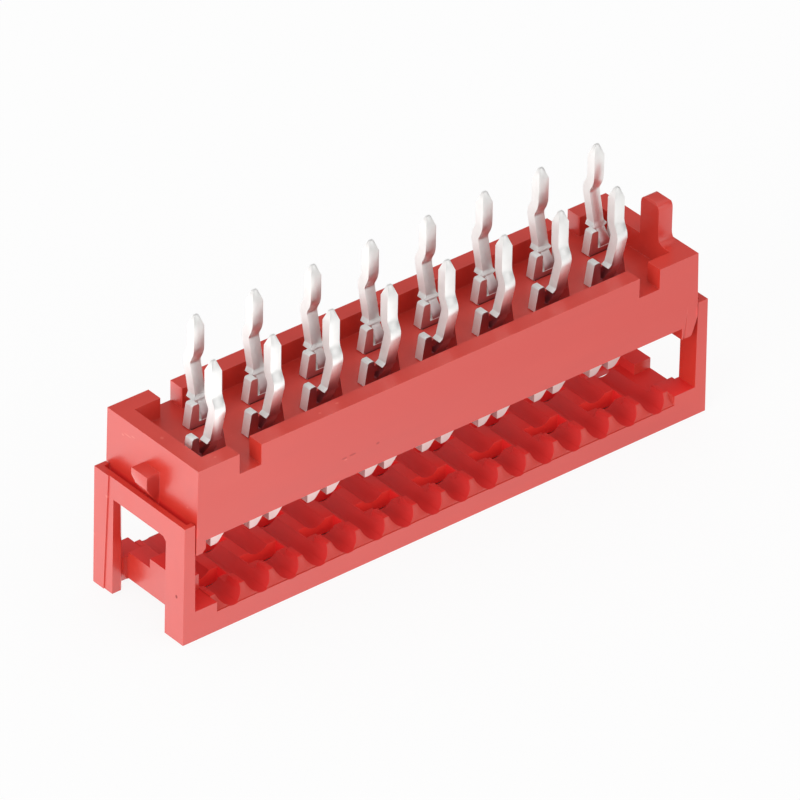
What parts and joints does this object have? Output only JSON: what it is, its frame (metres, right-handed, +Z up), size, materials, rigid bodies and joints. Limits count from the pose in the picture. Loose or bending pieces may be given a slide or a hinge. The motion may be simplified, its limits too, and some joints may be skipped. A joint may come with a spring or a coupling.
{
  "type": "ribbon cable idc connector",
  "caption": "Two-row insulation-displacement connector for flat ribbon cable, with kinked solder tails, a locating post and a grooved cable cover held open.",
  "frame": {"origin": "middle of the underside of the cable cover, on the surface that the connector stands on", "axes": "+X along the rows towards the locating post, +Y across the rows to the back, +Z up towards the solder tails"},
  "size_m": [0.0236, 0.005, 0.0101],
  "materials": {
    "red_housing": "smooth moulded red plastic with a soft gloss",
    "red_cover": "smooth moulded red plastic with a soft gloss",
    "tinned_contact": "bright tin plating on copper alloy strip"
  },
  "bodies": {
    "root": {"housing": "red_housing", "cover": "red_cover", "contact_01": "tinned_contact", "contact_02": "tinned_contact", "contact_03": "tinned_contact", "contact_04": "tinned_contact", "contact_05": "tinned_contact", "contact_06": "tinned_contact", "contact_07": "tinned_contact", "contact_08": "tinned_contact", "contact_09": "tinned_contact", "contact_10": "tinned_contact", "contact_11": "tinned_contact", "contact_12": "tinned_contact", "contact_13": "tinned_contact", "contact_14": "tinned_contact", "contact_15": "tinned_contact", "contact_16": "tinned_contact"}
  },
  "joints": []
}
